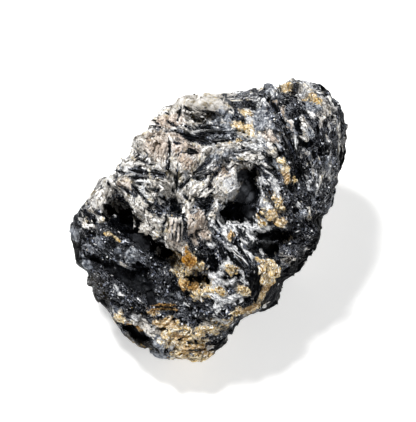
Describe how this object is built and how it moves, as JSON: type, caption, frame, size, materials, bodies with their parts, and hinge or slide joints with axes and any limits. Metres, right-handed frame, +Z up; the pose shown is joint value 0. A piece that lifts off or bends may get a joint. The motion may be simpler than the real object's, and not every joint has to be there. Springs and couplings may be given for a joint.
{
  "type": "schorl mineral specimen",
  "caption": "Hand-sized lump of black schorl with a cream feldspar slab, ochre limonite crusts and open hollows, resting on a flat underside.",
  "frame": {"origin": "level with the flat that the lump rests on, below the middle of its box", "axes": "+X along the lump's long way, +Z up from the flat it rests on, the show face leaning back 25 degrees and facing -X -Y and up"},
  "size_m": [0.0754, 0.0572, 0.0508],
  "materials": {
    "schorl_rock": "glassy black schorl, matt cream feldspar and earthy ochre limonite, grown together"
  },
  "bodies": {
    "root": {"schorl_specimen": "schorl_rock"}
  },
  "joints": []
}
